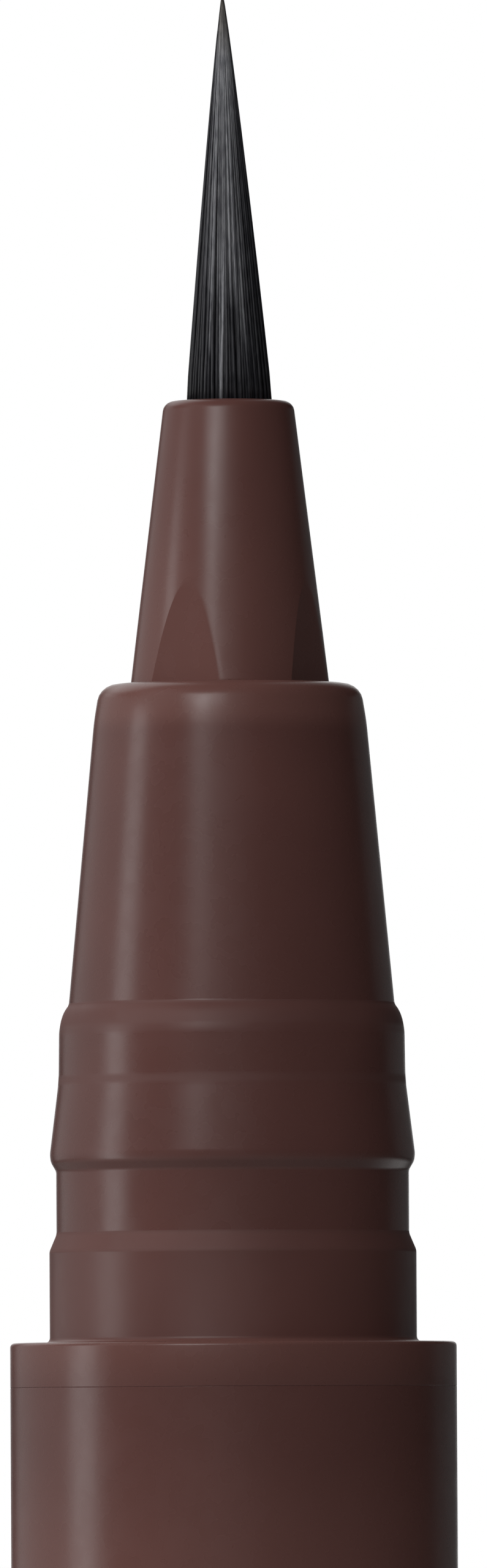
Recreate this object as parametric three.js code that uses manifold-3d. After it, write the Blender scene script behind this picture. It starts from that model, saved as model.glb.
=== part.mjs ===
// A liquid eyebrow pen, standing tip up on its cap, which is posted on the tail.
// Millimetres, +Z up. The origin is the middle of the cap's closed end.

import * as THREE from 'three';
import { mergeVertices } from 'three/addons/utils/BufferGeometryUtils.js';
import Module from 'manifold-3d';

// Clearances
const FIT = 0.05; // radial, between pieces that sit in one another
const SEAM = 0.03; // between faces that meet
const CAP_CLEARANCE = 0.06; // radial, between the cap, what it closes on and what slides in it

// Barrel
const BARREL_DIAMETER = 10;
const BARREL_WALL = 1;
const BARREL_LENGTH = 79;

// Front section, from the seat of the cap's rim up to the nose cone
const FLANGE_HEIGHT = 1;
const SEAT_WIDTH = 0.89;
const LANDING_HEIGHT = 2.05;
const LANDING_CHAMFER = 0.4;
const GROOVE_DEPTH = 0.16;
const GROOVE_HEIGHT = 1.35;
const BEAD_PROJECTION = 0.125;
const BEAD_UNDERSIDE = 0.3;
const BEAD_CREST = 0.3;
const BEAD_RAMP = 1.53;
const COLLAR_INSET = 0.205;
const COLLAR_HEIGHT = 1.54;
const COLLAR_ROUND = 0.4;
const CONE_STEP = 0.23;
const CONE_HEIGHT = 7.28;
const CONE_ROUND = 0.4;
const FRONT_WALL = 1;
const NECK_WALL = 1.4;
const SLEEVE_WALL = 0.9;

// Nose cone
const NOSE_HEIGHT = 6.32;
const NOSE_SHOULDER = 0.31;
const NOSE_LIP = 0.42;
const NOSE_ROUND = 0.18;
const SHANK_LENGTH = 6.8;
const SHANK_WALL = 0.6;
const FLAT_COUNT = 4;
const FLAT_DEPTH = 0.175;
const FLAT_HEIGHT = 2.1;
const FLAT_TURN_DEGREES = 29; // from the pen's front towards its left

// Brush
const BRUSH_DIAMETER = 1.92;
const BRUSH_REACH = 9.13;
const BRUSH_HOLD = 6.5; // length of the bundle inside the nose cone
const BRUSH_RECESS = 0.25; // how far the fused root stops short of the nose's mouth
const BRUSH_FULLNESS = 0.85; // below 1 the outline swells, at 1 it is a straight cone
const BRUSH_GATHER = 0.75; // how much closer the bristles lie at the tip than at the root
const ROOT_RIM = 0.29;
const ROOT_HEIGHT = 1;
const BRISTLE_COUNT = 331;
const BRISTLE_DIAMETER = 0.06;
const BRISTLE_EMBEDDED = 0.1;
const BRISTLE_BODY_SHARE = 0.6; // of its length, before it narrows to a point

// Liquid feed
const RETAINER_LENGTH = 4;
const RELAY_DIAMETER = 1;
const RELAY_ENTRY = 2; // into the brush's root
const RELAY_DIP = 6; // into the tank
const COLLECTOR_LENGTH = 18;
const SPOOL_WALL = 0.7;
const FIN_COUNT = 11;
const FIN_THICKNESS = 0.6;
const AIR_SLOT_WIDTH = 0.8;
const INK_SLIT_WIDTH = 0.3;
const PARTITION_HEIGHT = 3;
const PARTITION_RIBS = 2;
const RIB_HEIGHT = 0.15;
const RIB_WIDTH = 0.5;
const BALL_DIAMETER = 3.5;

// Tail plug
const TAIL_FLANGE_HEIGHT = 1;
const TAIL_SHANK_LENGTH = 8;
const TAIL_RIBS = 3;
const TAIL_WALL = 1;
const TAIL_FLOOR = 1.2;
const TAIL_CHAMFER = 0.4;
const POSTED_GAP = 1.5; // between the tail's spigot and the inner cap's lip

// Cap
const CAP_END_WALL = 1.5;
const CAP_END_ROUND = 0.5;
const SNAP_PLAY = 0.1;
const SNAP_CREST = 0.5;
const RETAINING_STEP = 0.3;
const RETAINING_WIDTH = 0.5;
const INNER_CAP_WALL = 0.6;
const INNER_CAP_END = 0.8;
const INNER_FLANGE_HEIGHT = 1.2;
const LIP_BEVEL = 0.3;
const LIP_PRELOAD = 0.6; // how far the closed cap presses the inner cap back
const TIP_CLEARANCE = 1.4;
const SPRING_LENGTH = 4.5;
const SPRING_DIAMETER = 5.6; // of the coil's centre line
const SPRING_WIRE = 0.4;
const SPRING_TURNS = 4;

// Facets
const SIDES = 32;
const FINE_SIDES = 16; // on pieces as thin as the relay core
const ARC_STEPS = 2;
const BRISTLE_SIDES = 3;
const WIRE_SIDES = 5;
const STEPS_PER_TURN = 8;

// Radii worked outwards from the brush
const brushRadius = BRUSH_DIAMETER / 2;
const mouthBore = brushRadius + FIT;
const rootRadius = brushRadius + ROOT_RIM;
const rearBore = rootRadius + FIT;
const shankRadius = rearBore + SHANK_WALL;
const frontBore = shankRadius + FIT;
const coneTopRadius = frontBore + FRONT_WALL;
const noseBaseRadius = shankRadius + NOSE_SHOULDER;
const noseTopRadius = mouthBore + NOSE_LIP;
const relayRadius = RELAY_DIAMETER / 2;
const relayBore = relayRadius + FIT;
const spoolRadius = relayBore + SPOOL_WALL;

// Radii worked inwards from the barrel
const barrelRadius = BARREL_DIAMETER / 2;
const barrelBore = barrelRadius - BARREL_WALL;
const landingRadius = barrelRadius - SEAT_WIDTH;
const grooveRadius = landingRadius - GROOVE_DEPTH;
const beadRadius = grooveRadius + BEAD_PROJECTION;
const collarRadius = beadRadius - COLLAR_INSET;
const coneBaseRadius = collarRadius - CONE_STEP;
const neckBore = grooveRadius - NECK_WALL;
const sleeveRadius = barrelBore - FIT;
const sleeveBore = sleeveRadius - SLEEVE_WALL;
const collectorRadius = sleeveBore - FIT;
const ribRadius = barrelBore - FIT;
const plugRadius = ribRadius - RIB_HEIGHT;
const tailHollowRadius = Math.min(plugRadius, grooveRadius) - TAIL_WALL;
const capBore = landingRadius + CAP_CLEARANCE;
const snapRadius = grooveRadius + CAP_CLEARANCE;
const innerFlangeRadius = capBore - CAP_CLEARANCE;
const innerCapRadius = innerFlangeRadius - RETAINING_STEP;
const innerCapBore = innerCapRadius - INNER_CAP_WALL;

// Heights on the pen's front, up from the seat of the cap's rim
const grooveFoot = LANDING_HEIGHT + LANDING_CHAMFER;
const grooveTop = grooveFoot + GROOVE_HEIGHT;
const beadFoot = grooveTop + BEAD_UNDERSIDE;
const beadTop = beadFoot + BEAD_CREST;
const collarFoot = beadTop + BEAD_RAMP;
const coneFoot = collarFoot + COLLAR_HEIGHT;
const coneTop = coneFoot + CONE_HEIGHT;
const frontBoreFoot = coneTop - SHANK_LENGTH;
const noseFoot = coneTop + SEAM;
const shankFoot = noseFoot - SHANK_LENGTH;
const noseTop = noseFoot + NOSE_HEIGHT;
const rootStep = noseTop - BRUSH_HOLD;
const rootTop = rootStep - SEAM;
const rootFoot = rootTop - ROOT_HEIGHT;
const bundleFoot = noseTop - BRUSH_RECESS;
const brushTop = noseTop + BRUSH_REACH;
const retainerTop = rootFoot - SEAM;

// Heights inside the barrel, down from the same seat
const collectorTop = -SEAM;
const collectorFoot = collectorTop - COLLECTOR_LENGTH;
const sleeveFoot = collectorFoot - SEAM;
const partitionTop = sleeveFoot - SEAM;
const partitionFoot = partitionTop - PARTITION_HEIGHT;
const relayTop = rootFoot + RELAY_ENTRY - SEAM;
const relayFoot = partitionFoot - RELAY_DIP;
const barrelTop = -FLANGE_HEIGHT - SEAM;
const barrelFoot = barrelTop - BARREL_LENGTH;

// Depths in the cap, in from its rim, with the inner cap sealing where the cone is as wide as its lip
const coneTaper = coneBaseRadius - coneTopRadius;
const sealShare = THREE.MathUtils.clamp((coneBaseRadius - innerCapBore) / coneTaper, 0, 1);
const lipDepth = coneFoot + sealShare * CONE_HEIGHT - LIP_PRELOAD;
const innerCapFloorDepth = brushTop + TIP_CLEARANCE;
const innerCapEndDepth = innerCapFloorDepth + INNER_CAP_END;
const capFloorDepth = innerCapEndDepth + SPRING_LENGTH;
const capLength = capFloorDepth + CAP_END_WALL;
const spigotLength = lipDepth - POSTED_GAP;

// Heights of the pieces' own zero levels above the floor
const tailSeatHeight = capLength + SEAM;
const penSeatHeight = tailSeatHeight + TAIL_FLANGE_HEIGHT + SEAM - barrelFoot;
const ballHeight = tailSeatHeight + TAIL_FLOOR - spigotLength + SEAM + BALL_DIAMETER / 2;

const wasm = await Module();
wasm.setup();

// Merges shared corners and drops the flat triangles that a revolved outline leaves on its axis.
function tidyGeometry(geometry) {
  geometry.deleteAttribute('normal');
  geometry.deleteAttribute('uv');
  const merged = mergeVertices(geometry);
  const corners = merged.index.array;
  const kept = [];
  for (let i = 0; i < corners.length; i += 3) {
    const [a, b, c] = corners.slice(i, i + 3);
    if (a !== b && b !== c && c !== a) {
      kept.push(a, b, c);
    }
  }
  merged.setIndex(kept);
  return merged;
}

// Revolves an outline about +Z. It is listed anticlockwise, with the radius first and the height second.
function revolve(outline, sides = SIDES) {
  const lathe = new THREE.LatheGeometry(outline.getPoints(ARC_STEPS), sides);
  return tidyGeometry(lathe.rotateX(Math.PI / 2));
}

function startOutline(radius, height) {
  return new THREE.Path().moveTo(radius, height);
}

function toSolid(geometry) {
  const vertProperties = new Float32Array(geometry.attributes.position.array);
  const triVerts = new Uint32Array(geometry.index.array);
  return new wasm.Manifold(new wasm.Mesh({ numProp: 3, vertProperties, triVerts }));
}

function toGeometry(solid) {
  const mesh = solid.getMesh();
  const geometry = new THREE.BufferGeometry();
  geometry.setAttribute('position', new THREE.BufferAttribute(mesh.vertProperties, mesh.numProp));
  geometry.setIndex(new THREE.BufferAttribute(mesh.triVerts, 1));
  return geometry;
}

// Sealing ribs spaced evenly on the outside of a plug, between two heights.
function addRibs(outline, count, foot, top) {
  for (let i = 1; i <= count; i += 1) {
    const middle = foot + ((top - foot) * i) / (count + 1);
    outline.lineTo(plugRadius, middle - RIB_WIDTH / 2);
    outline.lineTo(ribRadius, middle - RIB_WIDTH / 2);
    outline.lineTo(ribRadius, middle + RIB_WIDTH / 2);
    outline.lineTo(plugRadius, middle + RIB_WIDTH / 2);
  }
}

function makeBarrel() {
  const outline = startOutline(barrelBore, barrelFoot);
  outline.lineTo(barrelRadius, barrelFoot);
  outline.lineTo(barrelRadius, barrelTop);
  outline.lineTo(barrelBore, barrelTop);
  outline.closePath();
  return revolve(outline);
}

function makeFrontSection() {
  const collarArc = Math.acos(1 - CONE_STEP / COLLAR_ROUND);
  const collarArcFoot = coneFoot - COLLAR_ROUND * Math.sin(collarArc);
  const outline = startOutline(sleeveBore, sleeveFoot);
  outline.lineTo(sleeveRadius, sleeveFoot);
  outline.lineTo(sleeveRadius, -FLANGE_HEIGHT);
  outline.lineTo(barrelRadius, -FLANGE_HEIGHT);
  outline.lineTo(barrelRadius, 0);
  outline.lineTo(landingRadius, 0);
  outline.lineTo(landingRadius, LANDING_HEIGHT);
  outline.lineTo(grooveRadius, grooveFoot);
  outline.lineTo(grooveRadius, grooveTop);
  outline.lineTo(beadRadius, beadFoot);
  outline.lineTo(beadRadius, beadTop);
  outline.lineTo(collarRadius, collarFoot);
  outline.absarc(collarRadius - COLLAR_ROUND, collarArcFoot, COLLAR_ROUND, 0, collarArc);
  outline.absarc(coneTopRadius - CONE_ROUND, coneTop - CONE_ROUND, CONE_ROUND, 0, Math.PI / 2);
  outline.lineTo(frontBore, coneTop);
  outline.lineTo(frontBore, frontBoreFoot);
  outline.lineTo(neckBore, frontBoreFoot);
  outline.lineTo(neckBore, 0);
  outline.lineTo(sleeveBore, 0);
  outline.closePath();
  return revolve(outline);
}

// A block that cuts one flat, whose face leans in from the flat's depth at the foot to nothing at its top.
function makeFlatCutter(turn) {
  const footReach = noseBaseRadius - FLAT_DEPTH;
  const taper = (noseBaseRadius - noseTopRadius) / (NOSE_HEIGHT - NOSE_ROUND);
  const lean = Math.atan((noseBaseRadius - taper * FLAT_HEIGHT - footReach) / FLAT_HEIGHT);
  const block = new THREE.BoxGeometry(noseBaseRadius, BARREL_DIAMETER, 4 * FLAT_HEIGHT);
  block.translate(noseBaseRadius / 2, 0, 0);
  block.rotateY(lean);
  block.translate(footReach, 0, noseFoot);
  block.rotateZ(turn);
  return toSolid(tidyGeometry(block));
}

function makeNoseCone() {
  const outline = startOutline(rearBore, shankFoot);
  outline.lineTo(shankRadius, shankFoot);
  outline.lineTo(shankRadius, noseFoot);
  outline.lineTo(noseBaseRadius, noseFoot);
  outline.absarc(noseTopRadius - NOSE_ROUND, noseTop - NOSE_ROUND, NOSE_ROUND, 0, Math.PI / 2);
  outline.lineTo(mouthBore, noseTop);
  outline.lineTo(mouthBore, rootStep);
  outline.lineTo(rearBore, rootStep);
  outline.closePath();
  let solid = toSolid(revolve(outline));
  const firstTurn = -Math.PI / 2 - THREE.MathUtils.degToRad(FLAT_TURN_DEGREES);
  for (let i = 0; i < FLAT_COUNT; i += 1) {
    solid = solid.subtract(makeFlatCutter(firstTurn + (2 * Math.PI * i) / FLAT_COUNT));
  }
  return toGeometry(solid);
}

// How far up, from 0 at the root to 1 at the tip, a bristle gets before it leaves the brush's outline.
function bristleReach(spread) {
  const precision = 0.001;
  let inside = 0;
  let outside = 1;
  while (outside - inside > precision) {
    const middle = (inside + outside) / 2;
    const isInside = spread * (1 - BRUSH_GATHER * middle) < (1 - middle) ** BRUSH_FULLNESS;
    inside = isInside ? middle : inside;
    outside = isInside ? outside : middle;
  }
  return inside;
}

// One bristle. All of them gather towards the axis at one rate, so no two meet.
function makeBristle(spread, turn) {
  const length = brushTop - bundleFoot;
  const tip = length * bristleReach(spread);
  const gatherAt = (height) => 1 - (BRUSH_GATHER * height) / length;
  const bodyTop = tip * BRISTLE_BODY_SHARE;
  const radius = BRISTLE_DIAMETER / 2;
  const outline = startOutline(0, -BRISTLE_EMBEDDED);
  outline.lineTo(radius, -BRISTLE_EMBEDDED);
  outline.lineTo(radius * gatherAt(bodyTop), bodyTop);
  outline.lineTo(0, tip);
  const bristle = revolve(outline, BRISTLE_SIDES);
  const points = bristle.attributes.position;
  const reach = spread * (brushRadius - BRISTLE_DIAMETER);
  for (let i = 0; i < points.count; i += 1) {
    const offset = reach * gatherAt(points.getZ(i));
    points.setX(i, points.getX(i) + offset * Math.cos(turn));
    points.setY(i, points.getY(i) + offset * Math.sin(turn));
  }
  return toSolid(bristle.translate(0, 0, bundleFoot));
}

function makeBrush() {
  const outline = startOutline(relayBore, rootFoot);
  outline.lineTo(rootRadius, rootFoot);
  outline.lineTo(rootRadius, rootTop);
  outline.lineTo(brushRadius, rootTop);
  outline.lineTo(brushRadius, bundleFoot);
  outline.lineTo(0, bundleFoot);
  outline.lineTo(0, rootFoot + RELAY_ENTRY);
  outline.lineTo(relayBore, rootFoot + RELAY_ENTRY);
  outline.closePath();
  const goldenTurn = Math.PI * (3 - Math.sqrt(5));
  let solid = toSolid(revolve(outline));
  for (let i = 0; i < BRISTLE_COUNT; i += 1) {
    const spread = Math.sqrt((i + 0.5) / BRISTLE_COUNT);
    solid = solid.add(makeBristle(spread, i * goldenTurn));
  }
  return toGeometry(solid);
}

function makeRetainer() {
  const outline = startOutline(relayBore, retainerTop - RETAINER_LENGTH);
  outline.lineTo(rootRadius, retainerTop - RETAINER_LENGTH);
  outline.lineTo(rootRadius, retainerTop);
  outline.lineTo(relayBore, retainerTop);
  outline.closePath();
  return revolve(outline, FINE_SIDES);
}

function makeRelayCore() {
  const outline = startOutline(0, relayFoot);
  outline.lineTo(relayRadius, relayFoot);
  outline.lineTo(relayRadius, relayTop);
  outline.lineTo(0, relayTop);
  return revolve(outline, FINE_SIDES);
}

// A block that cuts a slot through the fins on one side of the spool.
function makeSlotCutter(width, side) {
  const block = new THREE.BoxGeometry(collectorRadius, width, 2 * COLLECTOR_LENGTH);
  block.translate(side * (spoolRadius + collectorRadius / 2), 0, collectorFoot);
  return toSolid(tidyGeometry(block));
}

function makeCollector() {
  const pitch = (COLLECTOR_LENGTH - FIN_THICKNESS) / (FIN_COUNT - 1);
  const outline = startOutline(relayBore, collectorFoot);
  for (let i = 0; i < FIN_COUNT; i += 1) {
    const finFoot = collectorFoot + i * pitch;
    outline.lineTo(spoolRadius, finFoot);
    outline.lineTo(collectorRadius, finFoot);
    outline.lineTo(collectorRadius, finFoot + FIN_THICKNESS);
    outline.lineTo(spoolRadius, finFoot + FIN_THICKNESS);
  }
  outline.lineTo(relayBore, collectorTop);
  outline.closePath();
  const spool = toSolid(revolve(outline, FINE_SIDES));
  const slotted = spool.subtract(makeSlotCutter(AIR_SLOT_WIDTH, 1));
  return toGeometry(slotted.subtract(makeSlotCutter(INK_SLIT_WIDTH, -1)));
}

function makePartition() {
  const outline = startOutline(relayBore, partitionFoot);
  outline.lineTo(plugRadius, partitionFoot);
  addRibs(outline, PARTITION_RIBS, partitionFoot, partitionTop);
  outline.lineTo(plugRadius, partitionTop);
  outline.lineTo(relayBore, partitionTop);
  outline.closePath();
  return revolve(outline);
}

// Its zero level is the seat of the posted cap's rim.
function makeTailPlug() {
  const shankTop = TAIL_FLANGE_HEIGHT + TAIL_SHANK_LENGTH;
  const outline = startOutline(0, -spigotLength);
  outline.lineTo(grooveRadius - TAIL_CHAMFER, -spigotLength);
  outline.lineTo(grooveRadius, TAIL_CHAMFER - spigotLength);
  outline.lineTo(grooveRadius, -grooveFoot);
  outline.lineTo(landingRadius, -LANDING_HEIGHT);
  outline.lineTo(landingRadius, 0);
  outline.lineTo(barrelRadius, 0);
  outline.lineTo(barrelRadius, TAIL_FLANGE_HEIGHT);
  outline.lineTo(plugRadius, TAIL_FLANGE_HEIGHT);
  addRibs(outline, TAIL_RIBS, TAIL_FLANGE_HEIGHT, shankTop);
  outline.lineTo(plugRadius, shankTop);
  outline.lineTo(tailHollowRadius, shankTop);
  outline.lineTo(tailHollowRadius, TAIL_FLOOR - spigotLength);
  outline.lineTo(0, TAIL_FLOOR - spigotLength);
  return revolve(outline);
}

function makeMixingBall() {
  const ball = new THREE.SphereGeometry(BALL_DIAMETER / 2, FINE_SIDES, FINE_SIDES / 2);
  return tidyGeometry(ball.rotateX(Math.PI / 2));
}

function makeCapShell() {
  const heightAt = (depth) => capLength - depth;
  const snapMiddle = (grooveFoot + grooveTop) / 2;
  const snapHalf = GROOVE_HEIGHT / 2 - SNAP_PLAY;
  const rimFoot = innerCapEndDepth - INNER_FLANGE_HEIGHT - SEAM;
  const rimTop = rimFoot - RETAINING_WIDTH;
  const rimRadius = innerCapRadius + CAP_CLEARANCE;
  const outline = startOutline(0, 0);
  outline.lineTo(barrelRadius - CAP_END_ROUND, 0);
  outline.absarc(barrelRadius - CAP_END_ROUND, CAP_END_ROUND, CAP_END_ROUND, -Math.PI / 2, 0);
  outline.lineTo(barrelRadius, capLength);
  outline.lineTo(capBore, capLength);
  outline.lineTo(capBore, heightAt(snapMiddle - snapHalf));
  outline.lineTo(snapRadius, heightAt(snapMiddle - SNAP_CREST / 2));
  outline.lineTo(snapRadius, heightAt(snapMiddle + SNAP_CREST / 2));
  outline.lineTo(capBore, heightAt(snapMiddle + snapHalf));
  outline.lineTo(capBore, heightAt(rimTop));
  outline.lineTo(rimRadius, heightAt(rimTop));
  outline.lineTo(rimRadius, heightAt(rimFoot));
  outline.lineTo(capBore, heightAt(rimFoot));
  outline.lineTo(capBore, CAP_END_WALL);
  outline.lineTo(0, CAP_END_WALL);
  return revolve(outline);
}

function makeInnerCap() {
  const foot = capLength - innerCapEndDepth + SEAM;
  const lip = capLength - lipDepth;
  const outline = startOutline(0, foot);
  outline.lineTo(innerFlangeRadius, foot);
  outline.lineTo(innerFlangeRadius, capLength - innerCapEndDepth + INNER_FLANGE_HEIGHT);
  outline.lineTo(innerCapRadius, capLength - innerCapEndDepth + INNER_FLANGE_HEIGHT);
  outline.lineTo(innerCapRadius, lip - LIP_BEVEL);
  outline.lineTo(innerCapRadius - LIP_BEVEL, lip);
  outline.lineTo(innerCapBore, lip);
  outline.lineTo(innerCapBore, capLength - innerCapFloorDepth);
  outline.lineTo(0, capLength - innerCapFloorDepth);
  return revolve(outline);
}

// The centre line of the coil, from its foot up.
class Helix extends THREE.Curve {
  getPoint(share) {
    const turn = 2 * Math.PI * SPRING_TURNS * share;
    const rise = SPRING_LENGTH - SPRING_WIRE - 2 * SEAM;
    const height = SEAM + SPRING_WIRE / 2 + rise * share;
    const radius = SPRING_DIAMETER / 2;
    return new THREE.Vector3(radius * Math.cos(turn), radius * Math.sin(turn), height);
  }
}

// The least gap between the wire and itself, half a turn or more further on.
function leastCoilGap(points) {
  let least = Infinity;
  for (let i = 0; i < points.length; i += 1) {
    for (let j = i + STEPS_PER_TURN / 2; j < points.length; j += 1) {
      least = Math.min(least, points[i].distanceTo(points[j]));
    }
  }
  return least - SPRING_WIRE;
}

function makeCapSpring() {
  const helix = new Helix();
  const steps = Math.round(STEPS_PER_TURN * SPRING_TURNS);
  const circle = new THREE.EllipseCurve(0, 0, SPRING_WIRE / 2, SPRING_WIRE / 2);
  const section = new THREE.Shape(circle.getPoints(WIRE_SIDES));
  console.log(`cap_spring: least gap ${leastCoilGap(helix.getPoints(steps)).toFixed(2)} mm`);
  const wire = new THREE.ExtrudeGeometry(section, { steps, extrudePath: helix, bevelEnabled: false });
  return tidyGeometry(wire);
}

// Finishes
const BROWN_PLASTIC = { color: 0x583c38, roughness: 0.35 };
const NATURAL_PLASTIC = { color: 0xd9d6cf, roughness: 0.6 };
const FIBRE = { color: 0x3a2a26, roughness: 0.9 };
const BRISTLE = { color: 0x2b2b2f, roughness: 0.6 };
const STEEL = { color: 0xb8b8ba, roughness: 0.3, metalness: 1 };

const pen = new THREE.Group();

function addPiece(name, geometry, height, finish) {
  geometry.computeVertexNormals();
  const piece = new THREE.Mesh(geometry, new THREE.MeshStandardMaterial(finish));
  piece.name = name;
  piece.position.z = height;
  pen.add(piece);
}

addPiece('brush_tip', makeBrush(), penSeatHeight, BRISTLE);
addPiece('nose_cone', makeNoseCone(), penSeatHeight, BROWN_PLASTIC);
addPiece('front_section', makeFrontSection(), penSeatHeight, BROWN_PLASTIC);
addPiece('barrel', makeBarrel(), penSeatHeight, BROWN_PLASTIC);
addPiece('brush_retainer', makeRetainer(), penSeatHeight, NATURAL_PLASTIC);
addPiece('relay_core', makeRelayCore(), penSeatHeight, FIBRE);
addPiece('collector', makeCollector(), penSeatHeight, NATURAL_PLASTIC);
addPiece('tank_partition', makePartition(), penSeatHeight, NATURAL_PLASTIC);
addPiece('tail_plug', makeTailPlug(), tailSeatHeight, BROWN_PLASTIC);
addPiece('mixing_ball', makeMixingBall(), ballHeight, STEEL);
addPiece('cap_shell', makeCapShell(), 0, BROWN_PLASTIC);
addPiece('inner_cap', makeInnerCap(), 0, NATURAL_PLASTIC);
addPiece('cap_spring', makeCapSpring(), CAP_END_WALL, STEEL);

export default pen;
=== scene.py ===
import math
import random

import bpy
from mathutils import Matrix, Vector


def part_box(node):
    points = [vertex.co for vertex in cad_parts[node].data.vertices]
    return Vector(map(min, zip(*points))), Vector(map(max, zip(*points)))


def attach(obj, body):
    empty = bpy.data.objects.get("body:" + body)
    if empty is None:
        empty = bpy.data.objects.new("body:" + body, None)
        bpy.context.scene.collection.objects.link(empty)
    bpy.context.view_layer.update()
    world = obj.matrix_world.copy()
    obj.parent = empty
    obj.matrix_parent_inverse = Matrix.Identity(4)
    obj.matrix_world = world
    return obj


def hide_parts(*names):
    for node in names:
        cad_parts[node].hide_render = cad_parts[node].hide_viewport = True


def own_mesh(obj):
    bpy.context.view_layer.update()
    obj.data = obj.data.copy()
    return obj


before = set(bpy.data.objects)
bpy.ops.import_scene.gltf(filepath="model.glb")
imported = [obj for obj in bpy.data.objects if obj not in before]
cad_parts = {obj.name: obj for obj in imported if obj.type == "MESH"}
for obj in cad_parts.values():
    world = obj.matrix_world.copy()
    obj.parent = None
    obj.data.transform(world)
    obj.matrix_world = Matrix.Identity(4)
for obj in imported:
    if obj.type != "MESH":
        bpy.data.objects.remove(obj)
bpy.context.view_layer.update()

# Barrel: the tube that holds the liquid, moulded in dark brown plastic with a satin skin.
# The front section's sleeve is pressed into its top, and the tail plug into its foot.
MM = 0.001
SPIN_STEPS = 128
ROUND_CUTS = 5
SAME_PLACE = 1e-6  # metres
SOFT_ANGLE = math.radians(21)
BARREL_RADIUS = 5.0
BARREL_BORE = 4.0
SEAM_EDGE = 0.01
SEAM_LIFT = 0.028  # brings the rim close under the front section's flange
EASED_EDGE = 0.12
MOTTLE_SPAN = (0.3, 0.7)  # holds most values of a cloudy pattern
BODY_GLOSS = (0.25, 0.30)  # least and most roughness
LIGHTER_BROWN = (99, 67, 62)
MIX_FIRST = 6  # the mix node's sockets for colours
MIX_SECOND = 7
MIX_RESULT = 2
# Painted light: a long band of the barrel below its rim is painted lighter.
LIT_BAND_DROP = 1.0  # from the rim down to where the barrel's painted light band starts
LIT_BAND_LENGTH = 30.0
LIT_BAND_FADE = 3.2
LIT_BAND_TAIL = 9.6  # the longer fade at the band's foot
LIT_BAND_LIGHTENING = 0.8


def levels_of(node):
    """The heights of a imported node's foot and top, in millimetres."""
    low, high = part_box(node)
    return low[2] / MM, high[2] / MM


def place_of(corner):
    """Where an outline's corner (radius, height, setback of its round) lies, in metres."""
    return Vector((corner[0] * MM, 0, corner[1] * MM))


def start_piece(name):
    """Names the primitive that was just added and opens it in edit mode."""
    piece = bpy.context.object
    piece.name = name
    piece.data.name = name
    bpy.ops.object.mode_set(mode="EDIT")
    bpy.ops.mesh.select_mode(type="VERT")
    bpy.ops.mesh.select_all(action="SELECT")
    return piece


def pick_points(piece, places):
    """Selects the points of an open piece that lie at the given places, and the edges between them."""
    bpy.ops.mesh.select_all(action="DESELECT")
    bpy.ops.object.mode_set(mode="OBJECT")
    for point in piece.data.vertices:
        point.select = any((point.co - place).length < SAME_PLACE for place in places)
    bpy.ops.object.mode_set(mode="EDIT")
    bpy.ops.mesh.select_mode(type="VERT")


def draw_outline(name, corners):
    """Draws an outline in the plane y = 0 from a single point, and closes it unless it ends on the axis."""
    bpy.ops.object.select_all(action="DESELECT")
    bpy.ops.mesh.primitive_plane_add(size=MM)
    piece = start_piece(name)
    bpy.ops.mesh.merge(type="CENTER")
    bpy.ops.transform.translate(value=place_of(corners[0]))
    for before, after in zip(corners, corners[1:]):
        step = place_of(after) - place_of(before)
        bpy.ops.mesh.extrude_region_move(TRANSFORM_OT_translate={"value": step})
    if corners[0][0] > 0:
        pick_points(piece, (place_of(corners[0]), place_of(corners[-1])))
        bpy.ops.mesh.edge_face_add()
    return piece


def round_corners(piece, corners):
    """Rounds each corner that gives a setback."""
    for setback in sorted({corner[2] for corner in corners if len(corner) > 2}):
        places = [place_of(corner) for corner in corners if corner[2:] == (setback,)]
        pick_points(piece, places)
        bpy.ops.mesh.bevel(offset=setback * MM, segments=ROUND_CUTS, affect="VERTICES")


def close_skin():
    """Merges the points that meet and turns all faces outwards."""
    bpy.ops.mesh.select_all(action="SELECT")
    bpy.ops.mesh.remove_doubles(threshold=SAME_PLACE)
    bpy.ops.mesh.normals_make_consistent(inside=False)
    bpy.ops.object.mode_set(mode="OBJECT")


def smooth_skin(piece, angle=SOFT_ANGLE):
    """Shades bends up to an angle softly and keeps the large faces even."""
    bpy.ops.object.shade_smooth_by_angle(angle=angle)
    even = piece.modifiers.new("even_shading", "WEIGHTED_NORMAL")
    even.keep_sharp = True
    bpy.ops.object.modifier_apply(modifier=even.name)


def spin_outline(piece, steps=SPIN_STEPS):
    """Spins an open piece's outline round the pen's axis into a closed skin."""
    bpy.ops.mesh.select_all(action="SELECT")
    bpy.ops.mesh.spin(steps=steps, angle=2 * math.pi, center=(0, 0, 0), axis=(0, 0, 1))
    close_skin()


def turn_piece(name, corners):
    """Makes a round piece from an outline of corners, in millimetres."""
    piece = draw_outline(name, corners)
    round_corners(piece, corners)
    spin_outline(piece)
    smooth_skin(piece)
    return piece


def paint(red, green, blue):
    """A colour given as it looks on screen, 0 to 255, in the shader's linear values."""
    def linear(value):
        share = value / 255
        return share / 12.92 if share <= 0.04045 else ((share + 0.055) / 1.055) ** 2.4
    return (linear(red), linear(green), linear(blue), 1)


def new_finish(name):
    """A node material, with its shader and its object coordinates."""
    finish = bpy.data.materials.new(name)
    finish.use_nodes = True
    shader = finish.node_tree.nodes["Principled BSDF"]
    coordinates = finish.node_tree.nodes.new("ShaderNodeTexCoord")
    return finish, shader, coordinates.outputs["Object"]


def add_mottle(finish, place, size, detail=2.0):
    """A cloudy pattern whose clouds are about this many millimetres across."""
    mottle = finish.node_tree.nodes.new("ShaderNodeTexNoise")
    mottle.inputs["Scale"].default_value = 1 / (size * MM)
    mottle.inputs["Detail"].default_value = detail
    finish.node_tree.links.new(place, mottle.inputs["Vector"])
    return mottle.outputs["Fac"]


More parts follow.
